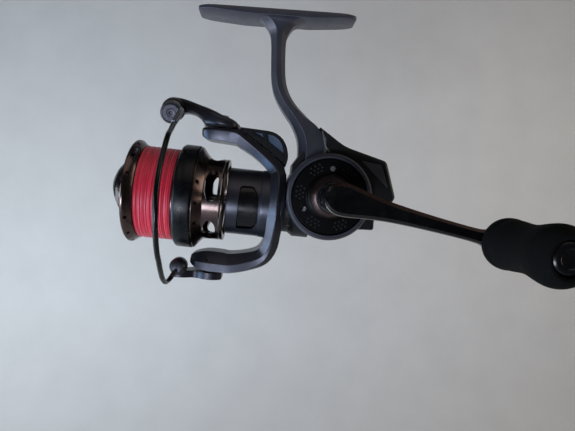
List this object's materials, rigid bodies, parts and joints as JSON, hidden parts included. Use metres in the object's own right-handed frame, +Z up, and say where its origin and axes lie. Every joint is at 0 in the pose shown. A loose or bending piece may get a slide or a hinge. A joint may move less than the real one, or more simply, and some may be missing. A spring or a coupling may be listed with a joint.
{
  "type": "spinning reel",
  "caption": "Front-drag spinning reel with a T-shaped foot, a wire bail on a two-armed rotor, a wound spool and a crank handle with a foam knob.",
  "frame": {"origin": "middle of the foot's flat seat, where it rests on the rod", "axes": "+X along the main shaft from the spool to the body, +Y away from the handle, +Z up towards the rod; the seat leans 3.5 degrees from the main shaft"},
  "size_m": [0.1524, 0.104, 0.1165],
  "materials": {
    "body": "satin grey-violet metallic paint",
    "rotor": "satin dark blue-grey",
    "black": "matte black",
    "gloss": "gloss black",
    "bronze": "anodised gunmetal bronze",
    "steel": "satin",
    "brass": "machined",
    "grip": "closed-cell foam",
    "line": "wound braided line",
    "washer": "carbon felt"
  },
  "bodies": {
    "frame": {"body_frame": "body", "side_cover": "black", "cover_screw_1": "steel", "cover_screw_2": "steel", "cover_screw_3": "steel", "rear_guard": "black", "guard_inlay_near": "body", "guard_inlay_far": "body", "drive_bearing_near": "steel", "drive_bearing_far": "steel", "pinion_bearing": "steel", "clutch_ring": "steel", "clutch_retainer": "body", "osc_gear_post": "steel", "shaft_cap_far": "black"},
    "crank": {"drive_gear": "brass", "drive_shaft": "steel", "handle_collar": "bronze", "handle_arm": "gloss", "arm_inlay": "gloss", "knob_post": "steel"},
    "knob": {"knob_sleeve": "black", "knob_grip": "grip", "knob_cap": "gloss"},
    "oscillator": {"osc_gear": "brass"},
    "shaft": {"slider": "brass", "main_shaft": "steel", "spool_washer": "steel"},
    "spool_unit": {"spool": "bronze", "line_winding": "line", "skirt_band": "gloss", "skirt_ring": "steel", "line_clip": "steel", "drag_washer_1": "washer", "drag_washer_2": "washer", "drag_washer_3": "washer", "drag_retainer": "steel"},
    "drag": {"drag_knob": "black", "drag_nut": "brass", "drag_spring": "steel"},
    "rotor_unit": {"rotor": "rotor", "rotor_liner": "gloss", "arm_gusset": "black", "pinion": "brass", "clutch_sleeve": "steel", "rotor_nut": "steel"},
    "bail": {"bail_lever": "rotor", "roller_cap": "steel", "bail_wire": "gloss", "bail_holder": "rotor", "bail_screw_upper": "steel", "bail_screw_lower": "steel", "roller_pin": "steel"},
    "roller": {"line_roller": "steel", "roller_bearing": "steel"}
  },
  "joints": [
    {"name": "handle_turn", "type": "hinge", "parent": "frame", "child": "crank", "pos_m": [0.028, 0, -0.0735], "axis": [0, 1, 0], "continuous": true},
    {"name": "rotor_turn", "type": "hinge", "parent": "frame", "child": "rotor_unit", "pos_m": [-0.002, 0, -0.0797], "axis": [1, 0, 0], "continuous": true},
    {"name": "oscillator_turn", "type": "hinge", "parent": "frame", "child": "oscillator", "pos_m": [0.0398, 0, -0.06908], "axis": [0, 1, 0], "continuous": true},
    {"name": "shaft_slide", "type": "slide", "parent": "frame", "child": "shaft", "axis": [1, 0, 0], "range_m": [0, 0.012]},
    {"name": "spool_turn", "type": "hinge", "parent": "shaft", "child": "spool_unit", "pos_m": [-0.038, 0, -0.0797], "axis": [1, 0, 0], "continuous": true},
    {"name": "drag_knob_turn", "type": "hinge", "parent": "shaft", "child": "drag", "pos_m": [-0.054, 0, -0.0797], "axis": [1, 0, 0], "range_deg": [-720, 720]},
    {"name": "knob_turn", "type": "hinge", "parent": "crank", "child": "knob", "pos_m": [0.0829, -0.064, -0.0821], "axis": [0, 1, 0], "continuous": true},
    {"name": "bail_swing", "type": "hinge", "parent": "rotor_unit", "child": "bail", "pos_m": [-0.019, 0, -0.0797], "axis": [0, 0, 1], "range_deg": [-115, 0]},
    {"name": "line_roller_turn", "type": "hinge", "parent": "bail", "child": "roller", "pos_m": [-0.0384, -0.01, -0.047], "axis": [-0.1191, 0.9532, 0.278], "continuous": true}
  ],
  "couplings": [
    {"joint": "rotor_turn", "follows": "handle_turn", "ratio": -6},
    {"joint": "oscillator_turn", "follows": "handle_turn", "ratio": -0.5}
  ]
}
